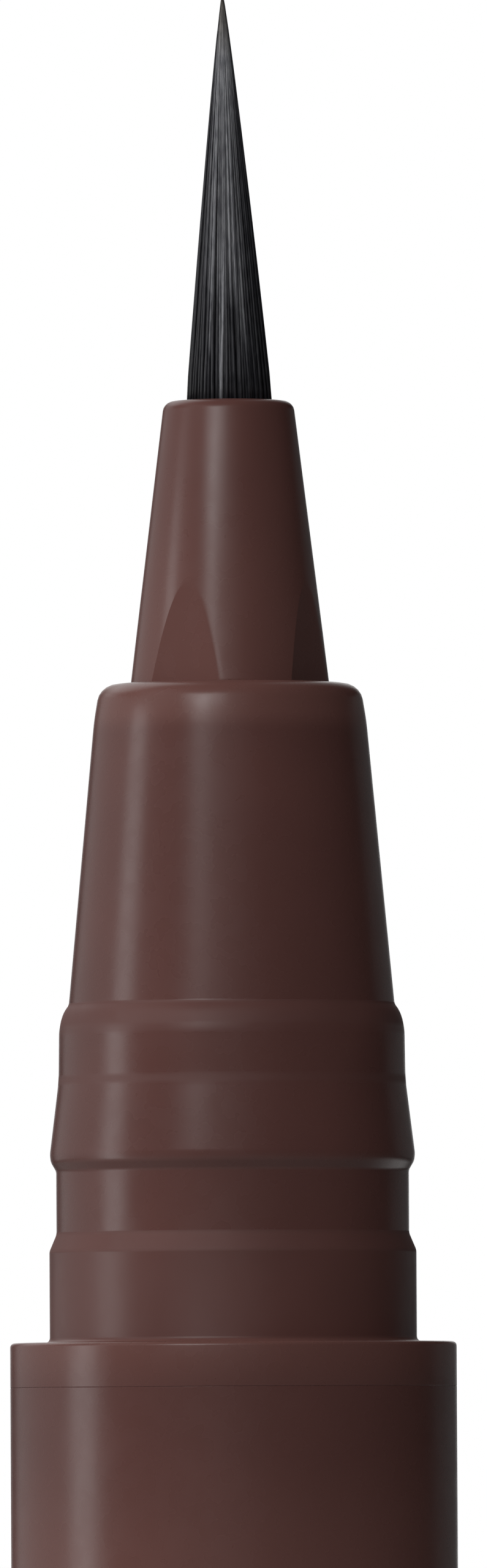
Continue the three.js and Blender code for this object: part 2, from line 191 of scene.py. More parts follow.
def map_range(tree, value, low, high, to_low, to_high, course="SMOOTHSTEP"):
    """A value that changes, softly by default, as another goes from low to high."""
    spread = tree.nodes.new("ShaderNodeMapRange")
    spread.interpolation_type = course
    spread.inputs["From Min"].default_value = low
    spread.inputs["From Max"].default_value = high
    spread.inputs["To Min"].default_value = to_low
    spread.inputs["To Max"].default_value = to_high
    tree.links.new(value, spread.inputs["Value"])
    return spread.outputs["Result"]


def spread_over(finish, pattern, target, low, high):
    """Spreads a pattern over a range of values on one of the shader's sockets."""
    spread = map_range(finish.node_tree, pattern, *MOTTLE_SPAN, low, high, course="LINEAR")
    finish.node_tree.links.new(spread, target)


def tint_over(finish, pattern, colours):
    """Colours a pattern by stops of (position, colour)."""
    tint = finish.node_tree.nodes.new("ShaderNodeValToRGB")
    while len(tint.color_ramp.elements) < len(colours):
        tint.color_ramp.elements.new(0.5)
    for stop, (position, colour) in zip(tint.color_ramp.elements, colours):
        stop.position = position
        stop.color = colour
    finish.node_tree.links.new(pattern, tint.inputs["Fac"])
    return tint.outputs["Color"]


def emboss(finish, shader, pattern, depth):
    """Raises a pattern on the surface by a depth in millimetres."""
    relief = finish.node_tree.nodes.new("ShaderNodeBump")
    relief.inputs["Strength"].default_value = 1.0
    relief.inputs["Distance"].default_value = depth * MM
    finish.node_tree.links.new(pattern, relief.inputs["Height"])
    finish.node_tree.links.new(relief.outputs["Normal"], shader.inputs["Normal"])


def brown_plastic(name, gloss):
    """Dark brown moulded plastic with faint clouds in its colour and a fine satin skin."""
    finish, shader, place = new_finish(name)
    clouds = add_mottle(finish, place, size=2.4, detail=1.5)
    browns = ((0.32, paint(86.5, 57, 53)), (0.52, paint(88, 58, 54)), (0.68, paint(90, 59.2, 55)))
    finish.node_tree.links.new(tint_over(finish, clouds, browns), shader.inputs["Base Color"])
    spread_over(finish, add_mottle(finish, place, size=0.5), shader.inputs["Roughness"], *gloss)
    emboss(finish, shader, add_mottle(finish, place, size=0.35, detail=1.0), depth=0.0012)
    return finish


def reckon(tree, operation, first, second):
    """Brings two values together, each given as a socket or a number."""
    step = tree.nodes.new("ShaderNodeMath")
    step.operation = operation
    for value, socket in zip((first, second), step.inputs):
        if isinstance(value, float):
            socket.default_value = value
        else:
            tree.links.new(value, socket)
    return step.outputs["Value"]


def height_on(finish):
    """The height of each point of the piece, in metres."""
    split = finish.node_tree.nodes.new("ShaderNodeSeparateXYZ")
    coordinates = finish.node_tree.nodes["Texture Coordinate"]
    finish.node_tree.links.new(coordinates.outputs["Object"], split.inputs["Vector"])
    return split.outputs["Z"]


def blend_lighter(finish, lighter_share):
    """Blends the brown into a lighter one by a share from 0 to 1; on the barrel and the cone's top this is
    painted light.
    """
    colour = finish.node_tree.nodes["Principled BSDF"].inputs["Base Color"]
    worn = finish.node_tree.nodes.new("ShaderNodeMix")
    worn.data_type = "RGBA"
    finish.node_tree.links.new(lighter_share, worn.inputs["Factor"])
    finish.node_tree.links.new(colour.links[0].from_socket, worn.inputs[MIX_FIRST])
    worn.inputs[MIX_SECOND].default_value = paint(*LIGHTER_BROWN)
    finish.node_tree.links.new(worn.outputs[MIX_RESULT], colour)


barrel_foot, barrel_top = levels_of("barrel")
barrel_top += SEAM_LIFT
barrel = turn_piece("barrel_tube", (
    (BARREL_BORE, barrel_foot, EASED_EDGE),
    (BARREL_RADIUS, barrel_foot, SEAM_EDGE),
    (BARREL_RADIUS, barrel_top, SEAM_EDGE),
    (BARREL_BORE, barrel_top, EASED_EDGE),
))
barrel_brown = brown_plastic("brown_plastic_barrel", BODY_GLOSS)
barrel_tree = barrel_brown.node_tree
barrel_height = height_on(barrel_brown)
# Painted light: the barrel's brown is blended lighter in a band below its rim.
lit_band_top = barrel_top - LIT_BAND_DROP
lit_band_foot = lit_band_top - LIT_BAND_LENGTH
painted_light_band = reckon(
    barrel_tree, "MULTIPLY",
    map_range(barrel_tree, barrel_height, (lit_band_top - LIT_BAND_FADE) * MM, lit_band_top * MM, LIT_BAND_LIGHTENING, 0.0),
    map_range(barrel_tree, barrel_height, (lit_band_foot - LIT_BAND_TAIL) * MM, lit_band_foot * MM, 0.0, 1.0),
)
blend_lighter(barrel_brown, painted_light_band)
barrel.data.materials.append(barrel_brown)
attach(barrel, "pen")
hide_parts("barrel")

# Tail plug: a hollow brown moulding that closes the barrel's foot. Its ribbed shank is pressed into the
# bore, its flange is as wide as the barrel, and the cap is posted on the spigot under the flange.
LANDING_RADIUS = 4.11
LANDING_HEIGHT = 2.05
GROOVE_RADIUS = 3.95
PLUG_RADIUS = 3.8
RIB_RADIUS = 3.95
RIB_HALF = 0.25
RIB_EDGE = 0.1
TAIL_BORE = 2.8
TAIL_FLANGE = 1.0
TAIL_SHANK = 8.0
TAIL_FLOOR = 1.2
TAIL_STEP = 0.4  # from the landing to the narrower spigot
TAIL_CHAMFER = 0.4
TAIL_FILLET = 0.15  # where the cap's rim sits
TAIL_HOLLOW = 0.3  # round the floor's inside
CRISP_EDGE = 0.05
NEAT_EDGE = 0.06
SMALL_EDGE = 0.08
TAIL_RIBS = 3
GATE_RADIUS = 0.7
GATE_DEPTH = 0.2


def rib_corners(count, foot, top):
    """The outline of sealing ribs, spaced evenly between two heights."""
    corners = []
    for number in range(1, count + 1):
        middle = foot + (top - foot) * number / (count + 1)
        corners += [
            (PLUG_RADIUS, middle - RIB_HALF),
            (RIB_RADIUS, middle - RIB_HALF, RIB_EDGE),
            (RIB_RADIUS, middle + RIB_HALF, RIB_EDGE),
            (PLUG_RADIUS, middle + RIB_HALF),
        ]
    return tuple(corners)


tail_foot, tail_top = levels_of("tail_plug")
tail_shank_foot = tail_top - TAIL_SHANK
tail_seat = tail_shank_foot - TAIL_FLANGE
tail_plug = turn_piece("tail_stopper", (
    (0, tail_foot + GATE_DEPTH),
    (GATE_RADIUS, tail_foot + GATE_DEPTH, SMALL_EDGE),
    (GATE_RADIUS, tail_foot, NEAT_EDGE),
    (GROOVE_RADIUS - TAIL_CHAMFER, tail_foot, EASED_EDGE),
    (GROOVE_RADIUS, tail_foot + TAIL_CHAMFER, EASED_EDGE),
    (GROOVE_RADIUS, tail_seat - LANDING_HEIGHT - TAIL_STEP, SMALL_EDGE),
    (LANDING_RADIUS, tail_seat - LANDING_HEIGHT, NEAT_EDGE),
    (LANDING_RADIUS, tail_seat, TAIL_FILLET),
    (BARREL_RADIUS, tail_seat, EASED_EDGE),
    (BARREL_RADIUS, tail_shank_foot, SEAM_EDGE),
    (PLUG_RADIUS, tail_shank_foot, CRISP_EDGE),
    *rib_corners(TAIL_RIBS, tail_shank_foot, tail_top),
    (PLUG_RADIUS, tail_top, EASED_EDGE),
    (TAIL_BORE, tail_top, EASED_EDGE),
    (TAIL_BORE, tail_foot + TAIL_FLOOR, TAIL_HOLLOW),
    (0, tail_foot + TAIL_FLOOR),
))
body_brown = brown_plastic("brown_plastic_body", BODY_GLOSS)
tail_plug.data.materials.append(body_brown)
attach(tail_plug, "pen")
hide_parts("tail_plug")

# Mixing ball: a loose ball of bright steel, ground and tumbled. It lies on the tail plug's floor and
# runs up the tank to stir the pigment when the pen is shaken.
BALL_CUTS = 11


def bright_steel(name):
    """Steel with a faint tumbled haze."""
    finish, shader, place = new_finish(name)
    greys = ((0.35, paint(176, 176, 178)), (0.65, paint(196, 196, 198)))
    tint = tint_over(finish, add_mottle(finish, place, size=0.7), greys)
    finish.node_tree.links.new(tint, shader.inputs["Base Color"])
    shader.inputs["Metallic"].default_value = 1.0
    haze = add_mottle(finish, place, size=0.25, detail=3.0)
    spread_over(finish, haze, shader.inputs["Roughness"], low=0.18, high=0.32)
    return finish


ball_foot, ball_top = levels_of("mixing_ball")
ball_middle = (0, 0, (ball_foot + ball_top) / 2 * MM)
ball_radius = (ball_top - ball_foot) / 2 * MM
bpy.ops.object.select_all(action="DESELECT")
bpy.ops.mesh.primitive_cube_add(size=2 * ball_radius)
mixing_ball = start_piece("stirring_ball")
bpy.ops.mesh.subdivide(number_cuts=BALL_CUTS)
bpy.ops.transform.tosphere(value=1.0)
bpy.ops.object.mode_set(mode="OBJECT")
ball_reach = max(point.co.length for point in mixing_ball.data.vertices)
bpy.ops.object.mode_set(mode="EDIT")
bpy.ops.transform.resize(value=(ball_radius / ball_reach,) * 3, center_override=(0, 0, 0))
bpy.ops.transform.translate(value=ball_middle)
close_skin()
smooth_skin(mixing_ball)
steel = bright_steel("bright_steel")
mixing_ball.data.materials.append(steel)
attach(mixing_ball, "mixing_ball")
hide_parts("mixing_ball")

# Tank partition: a ribbed plug of uncoloured plastic, pressed into the barrel above the liquid.
# The relay core passes through the hole in its middle.
RELAY_BORE = 0.55
PARTITION_RIBS = 2
SOFT_EDGE = 0.1
LEAD_IN = 0.2  # on a plug's leading edge


def natural_plastic(name):
    """Uncoloured, slightly waxy moulded plastic."""
    finish, shader, place = new_finish(name)
    creams = ((0.3, paint(212, 209, 202)), (0.7, paint(224, 222, 216)))
    tint = tint_over(finish, add_mottle(finish, place, size=1.1, detail=3.0), creams)
    finish.node_tree.links.new(tint, shader.inputs["Base Color"])
    shader.inputs["Subsurface Weight"].default_value = 0.2
    shader.inputs["Subsurface Scale"].default_value = 0.4 * MM
    wax = add_mottle(finish, place, size=0.4)
    spread_over(finish, wax, shader.inputs["Roughness"], low=0.42, high=0.55)
    emboss(finish, shader, add_mottle(finish, place, size=0.07), depth=0.001)
    return finish


partition_foot, partition_top = levels_of("tank_partition")
partition = turn_piece("tank_wall", (
    (RELAY_BORE, partition_foot, SOFT_EDGE),
    (PLUG_RADIUS, partition_foot, LEAD_IN),
    *rib_corners(PARTITION_RIBS, partition_foot, partition_top),
    (PLUG_RADIUS, partition_top, SOFT_EDGE),
    (RELAY_BORE, partition_top, SOFT_EDGE),
))
natural = natural_plastic("natural_plastic")
partition.data.materials.append(natural)
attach(partition, "pen")
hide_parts("tank_partition")

# Relay core: a rod of bonded fibres, cut to length with ground ends, that draws the liquid from the tank
# up to the bristles. It is stained by the pigment.
RELAY_RADIUS = 0.5
FIBRE_LENGTH = 50  # times its thickness


def draw_out(finish, place, length):
    """Coordinates that draw a pattern out along the pen, to this many times its width."""
    drawn_out = finish.node_tree.nodes.new("ShaderNodeMapping")
    drawn_out.inputs["Scale"].default_value = (1, 1, 1 / length)
    finish.node_tree.links.new(place, drawn_out.inputs["Vector"])
    return drawn_out.outputs["Vector"]


def stained_fibre(name):
    """Bonded fibres that run along the rod, stained dark brown."""
    finish, shader, place = new_finish(name)
    fibres = add_mottle(finish, draw_out(finish, place, FIBRE_LENGTH), size=0.04, detail=3.0)
    browns = ((0.3, paint(38, 26, 24)), (0.7, paint(76, 56, 50)))
    finish.node_tree.links.new(tint_over(finish, fibres, browns), shader.inputs["Base Color"])
    spread_over(finish, fibres, shader.inputs["Roughness"], low=0.75, high=0.92)
    emboss(finish, shader, fibres, depth=0.01)
    return finish


relay_foot, relay_top = levels_of("relay_core")
relay_core = turn_piece("feed_rod", (
    (0, relay_foot),
    (RELAY_RADIUS, relay_foot, EASED_EDGE),
    (RELAY_RADIUS, relay_top, EASED_EDGE),
    (0, relay_top),
))
relay_core.data.materials.append(stained_fibre("stained_fibre"))
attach(relay_core, "pen")
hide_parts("relay_core")

# Collector: a finned spool of uncoloured plastic round the relay core, inside the front section's sleeve.
# Its fins hold surplus liquid, and an air slot and a fine ink slit are cut through them.
SPOOL_RADIUS = 1.25
FIN_RADIUS = 3.0
FIN_COUNT = 11
FIN_THICKNESS = 0.6
AIR_SLOT = 0.8
INK_SLIT = 0.3
SLOT_MARGIN = 1.0  # past each end of the spool


def fin_corners(foot, top):
    """The outline of the collector's fins, spaced evenly from its foot to its top."""
    pitch = (top - foot - FIN_THICKNESS) / (FIN_COUNT - 1)
    corners = []
    for number in range(FIN_COUNT):
        fin_foot = foot + number * pitch
        corners += [
            (SPOOL_RADIUS, fin_foot),
            (FIN_RADIUS, fin_foot, SMALL_EDGE),
            (FIN_RADIUS, fin_foot + FIN_THICKNESS, SMALL_EDGE),
            (SPOOL_RADIUS, fin_foot + FIN_THICKNESS),
        ]
    return tuple(corners[1:-1])


def cut_slot(piece, width, side, foot, top):
    """Cuts a slot through the fins on one side of the spool."""
    bpy.ops.object.select_all(action="DESELECT")
    middle = (side * (SPOOL_RADIUS + FIN_RADIUS / 2) * MM, 0, (foot + top) / 2 * MM)
    bpy.ops.mesh.primitive_cube_add(size=1, location=middle)
    cutter = bpy.context.object
    cutter.scale = (FIN_RADIUS * MM, width * MM, (top - foot + 2 * SLOT_MARGIN) * MM)
    slot = piece.modifiers.new("slot", "BOOLEAN")
    slot.operation = "DIFFERENCE"
    slot.object = cutter
    bpy.context.view_layer.objects.active = piece
    bpy.ops.object.modifier_apply(modifier=slot.name)
    bpy.data.objects.remove(cutter)
    piece.select_set(True)
    bpy.ops.object.mode_set(mode="EDIT")
    close_skin()


collector_foot, collector_top = levels_of("collector")
collector_outline = (
    (RELAY_BORE, collector_foot, SMALL_EDGE),
    *fin_corners(collector_foot, collector_top),
    (RELAY_BORE, collector_top, SMALL_EDGE),
)
collector = draw_outline("feed_spool", collector_outline)
round_corners(collector, collector_outline)
spin_outline(collector)
cut_slot(collector, AIR_SLOT, 1, collector_foot, collector_top)
cut_slot(collector, INK_SLIT, -1, collector_foot, collector_top)
smooth_skin(collector)
collector.data.materials.append(natural)
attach(collector, "pen")
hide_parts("collector")

# Front section: one brown moulding, with a sleeve pressed into the barrel, a flange as wide as the barrel,
# the landing, groove and bead that the cap clips over, a collar, and the cone that takes the nose cone.
SLEEVE_RADIUS = 3.95
SLEEVE_BORE = 3.05
NECK_BORE = 2.55
NOSE_SOCKET = 1.95
SOCKET_DEPTH = 6.8
SLEEVE_LEAD = 0.3
FLANGE_HEIGHT = 1.0
FLANGE_FILLET = 0.04
SECTION_HEIGHT = 14.75  # above the seat of the cap's rim, like the next heights
GROOVE_FOOT = 2.43
GROOVE_TOP = 3.84
BEAD_FOOT_RADIUS = 4.072
BEAD_FOOT = 4.05
BEAD_RADIUS = 4.090
BEAD_CREST = 4.22
COLLAR_FOOT_RADIUS = 3.886
COLLAR_FOOT = 5.87
COLLAR_HOLLOW = 0.2
COLLAR_RADIUS = 3.870
COLLAR_TOP = 7.11
COLLAR_ROUND = 0.25
RIM_RADIUS = 3.757
RIM_HEIGHT = 7.42
CONE_FOOT_RADIUS = 3.650
CONE_FOOT = 7.57
CONE_RADIUS = 3.054
CONE_TOP = 13.92
CONE_ROUND = 0.18
CROWN_RADIUS = 2.918
CROWN_ROUND = 0.36
OUTER_SKIN = 3.6  # the least radius that the cap can touch
RUB_ROUGHNESS = 0.09
RUBBED_ZONES = (  # from and to, above the seat, and how much
    (0.0, 2.005, 1.0),  # the landing
    (2.005, 2.47, 3.3),  # its chamfer
    (5.77, 5.97, 1.9),  # the corner over the bead, which is dusty
    (6.87, 7.05, 1.0),  # the collar under its rim
    (7.05, 7.6, 2.8),  # the collar's rim
)
TOP_LIGHT_DROP = 0.65  # from the cone's top down to where its painted light starts to fade
TOP_LIGHT_FADE = 0.55
FLANGE_LIGHTENING = 0.8
SEAT_FADE = 1.5
SEAT_SKIN = (0.02, 0.08)  # above the seat, where the flange's lightening runs out


def mark_points(mesh, name, values):
    """Notes a value for each of a mesh's points."""
    mark = mesh.attributes.new(name, "FLOAT", "POINT")
    mark.data.foreach_set("value", values)


def read_mark(finish, name):
    """A value noted on the points of the mesh."""
    mark = finish.node_tree.nodes.new("ShaderNodeAttribute")
    mark.attribute_name = name
    return mark.outputs["Fac"]


def dull_where_rubbed(finish):
    """Adds roughness where the piece is rubbed."""
    tree = finish.node_tree
    rough = tree.nodes["Principled BSDF"].inputs["Roughness"]
    dulling = reckon(tree, "MULTIPLY", read_mark(finish, "rubbed"), RUB_ROUGHNESS)
    tree.links.new(reckon(tree, "ADD", dulling, rough.links[0].from_socket), rough)


def rub_at(place):
    """How much the front section is rubbed at a place on its skin."""
    rise = place.z / MM - seat
    if place.xy.length / MM < OUTER_SKIN:
        return 0.0
    return sum(amount for foot, top, amount in RUBBED_ZONES if foot < rise < top)


section_foot, section_top = levels_of("front_section")
seat = section_top - SECTION_HEIGHT
front_section = turn_piece("front_neck", (
    (SLEEVE_BORE, section_foot, EASED_EDGE),
    (SLEEVE_RADIUS, section_foot, SLEEVE_LEAD),
    (SLEEVE_RADIUS, seat - FLANGE_HEIGHT, FLANGE_FILLET),
    (BARREL_RADIUS, seat - FLANGE_HEIGHT, SEAM_EDGE),
    (BARREL_RADIUS, seat, SOFT_EDGE),
    (LANDING_RADIUS, seat, EASED_EDGE),
    (LANDING_RADIUS, seat + LANDING_HEIGHT, CRISP_EDGE),
    (GROOVE_RADIUS, seat + GROOVE_FOOT, CRISP_EDGE),
    (GROOVE_RADIUS, seat + GROOVE_TOP, CRISP_EDGE),
    (BEAD_FOOT_RADIUS, seat + BEAD_FOOT, NEAT_EDGE),
    (BEAD_RADIUS, seat + BEAD_CREST, NEAT_EDGE),
    (COLLAR_FOOT_RADIUS, seat + COLLAR_FOOT, COLLAR_HOLLOW),
    (COLLAR_RADIUS, seat + COLLAR_TOP, COLLAR_ROUND),
    (RIM_RADIUS, seat + RIM_HEIGHT, SMALL_EDGE),
    (CONE_FOOT_RADIUS, seat + CONE_FOOT, CRISP_EDGE),
    (CONE_RADIUS, seat + CONE_TOP, CONE_ROUND),
    (CROWN_RADIUS, section_top, CROWN_ROUND),
    (NOSE_SOCKET, section_top, CRISP_EDGE),
    (NOSE_SOCKET, section_top - SOCKET_DEPTH, CRISP_EDGE),
    (NECK_BORE, section_top - SOCKET_DEPTH, SOFT_EDGE),
    (NECK_BORE, seat, SOFT_EDGE),
    (SLEEVE_BORE, seat, SOFT_EDGE),
))
mark_points(front_section.data, "rubbed", [rub_at(point.co) for point in front_section.data.vertices])
neck_brown = brown_plastic("brown_plastic_neck", BODY_GLOSS)
dull_where_rubbed(neck_brown)
neck_tree = neck_brown.node_tree
neck_height = height_on(neck_brown)
# Painted light: the top of the cone is painted lighter.
painted_top_light = map_range(
    neck_tree, neck_height,
    (section_top - TOP_LIGHT_DROP - TOP_LIGHT_FADE) * MM, (section_top - TOP_LIGHT_DROP) * MM, 0.0, 1.0,
)
# The flange is painted lighter towards its top, up to just above the seat.
seat_skin = [(seat + rise) * MM for rise in SEAT_SKIN]
flange_lightening = reckon(
    neck_tree, "MULTIPLY",
    map_range(neck_tree, neck_height, (seat - SEAT_FADE) * MM, seat * MM, 0.0, FLANGE_LIGHTENING),
    map_range(neck_tree, neck_height, *seat_skin, 1.0, 0.0),
)
blend_lighter(neck_brown, reckon(neck_tree, "MAXIMUM", painted_top_light, flange_lightening))
front_section.data.materials.append(neck_brown)
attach(front_section, "pen")
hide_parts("front_section")

# Nose cone: a glossier brown moulding that holds the bristles. Its shank is pressed into the front
# section, and four flats near its foot give the assembly tool a grip.
NOSE_STEPS = 320
NOSE_CUTS = 70
SHANK_RADIUS = 1.9
NOSE_BASE = 2.228
NOSE_TOP = 1.45
NOSE_HEIGHT = 6.32
NOSE_EDGE = 0.02
MOUTH_ROUND = 0.21
TIGHT_EDGE = 0.03
NOSE_DROP = 0.025  # brings the cone's foot close to the front section
MOUTH_BORE = 1.01
REAR_BORE = 1.30
BUNDLE_HOLD = 6.5
FLAT_COUNT = 4
FLAT_DEPTH = 0.175
FLAT_HEIGHT = 2.2
FLAT_FOOT = 0.04  # above the cone's foot, where the fine rings for the flats start
FLAT_MARGIN = 0.3  # from the flats' tops up to where these rings end
FLAT_TURN = math.radians(-119)  # one flat faces 29 degrees to the left of the front
FLAT_ROUND = 0.04  # along each flat's right edge
CUT_REACH = 1e-8  # metres
CRISP_SIDE = -0.3  # from the flat's middle
FLAT_REACH = 1.6  # over which the rounding grows
CRISP_SHARE = 0.12  # of the rounding, left at a flat's top
FLAT_ANGLE = math.radians(38)
NOSE_GLOSS = (0.24, 0.29)
LIGHTENING_LOW = 1.0  # above the foot, lightest up to here
LIGHTENING_HIGH = 5.5  # only slightly lighter from here
FOOT_LIGHTENING = 0.65
MOUTH_LIGHTENING = 0.1
TIP_RUB = 0.38  # at the mouth, none at the foot


def ease(share):
    """A share from 0 to 1 that starts and ends gently."""
    share = min(1.0, max(0.0, share))
    return share * share * (3 - 2 * share)


def nose_radius(rise):
    """The cone's radius at a rise above its foot."""
    return NOSE_BASE + (NOSE_TOP - NOSE_BASE) * rise / NOSE_HEIGHT


def press_flat(piece, turn, foot):
    """Presses in one flat that runs out at its height, crisp on its left and rounded on its right."""
    outwards = Vector((math.cos(turn), math.sin(turn), 0))
    rightwards = Vector((-math.sin(turn), math.cos(turn), 0))
    lean = FLAT_DEPTH / FLAT_HEIGHT - (NOSE_BASE - NOSE_TOP) / NOSE_HEIGHT
    facing = outwards - Vector((0, 0, lean))
    middle = outwards * (NOSE_BASE - FLAT_DEPTH) * MM + Vector((0, 0, foot * MM))
    bpy.ops.object.mode_set(mode="EDIT")
    bpy.ops.mesh.select_all(action="SELECT")
    bpy.ops.mesh.bisect(plane_co=middle, plane_no=facing, threshold=CUT_REACH)
    bpy.ops.object.mode_set(mode="OBJECT")
    prouds = [(point.co - middle).dot(facing) / MM for point in piece.data.vertices]
    sides = [point.co.dot(rightwards) / MM for point in piece.data.vertices]
    for edge in piece.data.edges:
        if all(abs(prouds[end]) < SAME_PLACE / MM and sides[end] < CRISP_SIDE for end in edge.vertices):
            edge.use_edge_sharp = True
    for point, proud, side in zip(piece.data.vertices, prouds, sides):
        rise = point.co.z / MM - foot
        if rise < -SAME_PLACE / MM:
            continue
        roundness = max(CRISP_SHARE, 1 - rise / FLAT_HEIGHT)
        edge_round = FLAT_ROUND * ease(0.5 + side / FLAT_REACH) * roundness
        pressed = (proud + math.hypot(proud, edge_round)) / 2
        if pressed > SAME_PLACE / MM:
            point.co -= outwards * pressed * MM


nose_low, nose_high = levels_of("nose_cone")
nose_foot = nose_high - NOSE_HEIGHT - NOSE_DROP
flat_rises = (FLAT_FOOT, FLAT_HEIGHT + FLAT_MARGIN)
flat_ends = tuple((nose_radius(rise), nose_foot + rise) for rise in flat_rises)
nose_outline = (
    (REAR_BORE, nose_low, SMALL_EDGE),
    (SHANK_RADIUS, nose_low, LEAD_IN),
    (SHANK_RADIUS, nose_foot, TIGHT_EDGE),
    (NOSE_BASE, nose_foot, NOSE_EDGE),
    *flat_ends,
    (NOSE_TOP, nose_high, MOUTH_ROUND),
    (MOUTH_BORE, nose_high, CRISP_EDGE),
    (MOUTH_BORE, nose_high - BUNDLE_HOLD, TIGHT_EDGE),
    (REAR_BORE, nose_high - BUNDLE_HOLD, TIGHT_EDGE),
)
nose = draw_outline("nose_holder", nose_outline)
round_corners(nose, nose_outline)
pick_points(nose, [place_of(corner) for corner in flat_ends])
bpy.ops.mesh.subdivide(number_cuts=NOSE_CUTS)
spin_outline(nose, NOSE_STEPS)
for number in range(FLAT_COUNT):
    press_flat(nose, FLAT_TURN + 2 * math.pi * number / FLAT_COUNT, nose_foot)
smooth_skin(nose, FLAT_ANGLE)
rises = [(point.co.z / MM - nose_foot) / NOSE_HEIGHT for point in nose.data.vertices]
mark_points(nose.data, "rubbed", [TIP_RUB * ease(rise) for rise in rises])
nose_brown = brown_plastic("brown_plastic_nose", NOSE_GLOSS)
dull_where_rubbed(nose_brown)
# The nose's brown is painted lighter, most towards its foot.
nose_lightening = map_range(
    nose_brown.node_tree, height_on(nose_brown),
    (nose_foot + LIGHTENING_LOW) * MM, (nose_foot + LIGHTENING_HIGH) * MM, FOOT_LIGHTENING, MOUTH_LIGHTENING,
)
blend_lighter(nose_brown, nose_lightening)
nose.data.materials.append(nose_brown)
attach(nose, "pen")
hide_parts("nose_cone")

# Brush retainer: a sleeve of uncoloured plastic, pushed into the nose cone behind the bristles' fused root
# so that it can't slide back. The relay core passes through it.
ROOT_RADIUS = 1.25

retainer_foot, retainer_top = levels_of("brush_retainer")
retainer = turn_piece("bundle_sleeve", (
    (RELAY_BORE, retainer_foot, SMALL_EDGE),
    (ROOT_RADIUS, retainer_foot, EASED_EDGE),
    (ROOT_RADIUS, retainer_top, NEAT_EDGE),
    (RELAY_BORE, retainer_top, NEAT_EDGE),
))
retainer.data.materials.append(natural)
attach(retainer, "pen")
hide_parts("brush_retainer")

# Brush: several hundred fine plastic filaments with tapered ends, fused into a plug at the root and held
# in the nose cone. Wet with pigment, they gather in locks and close to a point that leans a little.
BRISTLE_COUNT = 460
BRISTLE_SIDES = 6
BRISTLE_RINGS = (0.1, 0.22, 0.36, 0.52, 0.68, 0.82, 0.92, 0.98)
BRISTLE_FILL = 0.96  # of the room between neighbours
SPREAD_RADIUS = 0.998  # of the wet bundle at the nose's mouth
BRISTLE_TAPER = 0.012  # of a bristle's length
BRISTLE_SINK = 0.05  # into the plug
BRISTLE_SEED = 11
BRISTLE_ANGLE = math.radians(75)
FLECK_LENGTH = 4  # times its width
BUNDLE_RADIUS = 0.96
BUNDLE_RECESS = 0.25  # from the nose's mouth down to the fused root
ROOT_HEIGHT = 1.0
ROOT_SOCKET = 2.0
FULLNESS = 0.89
TIP_SHARE = 0.028
HELD_SHARE = 0.03  # that the nose's mouth holds straight
LOCK_COUNT = 46
LOCK_PULL = 0.34
LOCK_REACH = 0.35  # over which a lock's strands come together
SHORTENING = 0.13
SHORT_POWER = 5  # the higher, the fewer short strands
FOOT_LEAN = 0.03
TIP_LEAN = -0.09
WOBBLE = 0.012
WOBBLE_PACE = 7  # radians along the bundle
GOLDEN_TURN = math.pi * (3 - math.sqrt(5))
# Darker at the soaked root and lighter higher up; part of the upper lightness is a painted sheen.
SHADE_STEPS = (  # share of the bundle's length, and how light
    (0.0, 0.18), (0.2, 0.21), (0.36, 0.27), (0.6, 0.34),
    (0.72, 0.42), (0.83, 0.6), (0.92, 0.56), (1.0, 0.36),
)
STREAK_SHADE = 0.8
# Painted shade: strands darken towards the bundle's left and right sides.
PAINTED_EDGE_SHADE = 0.5
EDGE_START = 0.45  # of the bundle's radius, sideways
EDGE_FADE = 0.5
BAND_COUNT = 26
BAND_LIGHT = 0.36
BAND_START = 0.1
BAND_FADE = 0.3
OUTSIDE = 0.7  # of the bundle's radius
# Painted highlights: lighter streaks on the front of the bundle only.
PAINTED_HIGHLIGHT_STREAKS = (  # side, half width, lightness, start and end
    (-0.48, 0.08, 0.55, 0.1, 0.8),
    (-0.19, 0.07, 0.52, -0.2, 0.5),
    (0.12, 0.1, 0.6, 0.24, 0.85),
    (0.4, 0.08, 0.36, 0.08, 0.5),
)
STREAK_FADE = 0.1


def sunflower_spot(number, count):
    """A spot on a disc of radius 1 that is evenly filled with this many spots."""
    reach = math.sqrt((number + 0.5) / count)
    turn = number * GOLDEN_TURN
    return Vector((reach * math.cos(turn), reach * math.sin(turn)))


def bundle_width(share):
    """The bundle's width at a share of its length, from 1 at the root to almost nothing at the tip."""
    free = max(0.0, share - HELD_SHARE) / (1 - HELD_SHARE)
    return (1 - TIP_SHARE) * (1 - free) ** FULLNESS + TIP_SHARE


def band_light(spot, bands):
    """How light a strand is by its side of the bundle, in bands that run round it."""
    place = (math.atan2(spot.y, spot.x) / (2 * math.pi)) % 1 * BAND_COUNT
    before = int(place)
    step = ease(place - before)
    return bands[before % BAND_COUNT] * (1 - step) + bands[(before + 1) % BAND_COUNT] * step


def strand_light(spot, share, chance):
    """How light a strand is at a share of its length: lighter in random bands, and lightest in a few
    painted highlight streaks on its front.
    """
    light = BAND_LIGHT * chance * ease((share - BAND_START) / BAND_FADE)
    for side, half_width, streak, start, end in PAINTED_HIGHLIGHT_STREAKS:
        if spot.y < 0 and spot.length > OUTSIDE and abs(spot.x - side) < half_width:
            risen = streak * ease((share - start) / STREAK_FADE)
            light = max(light, risen * ease((end - share) / STREAK_FADE))
    return light


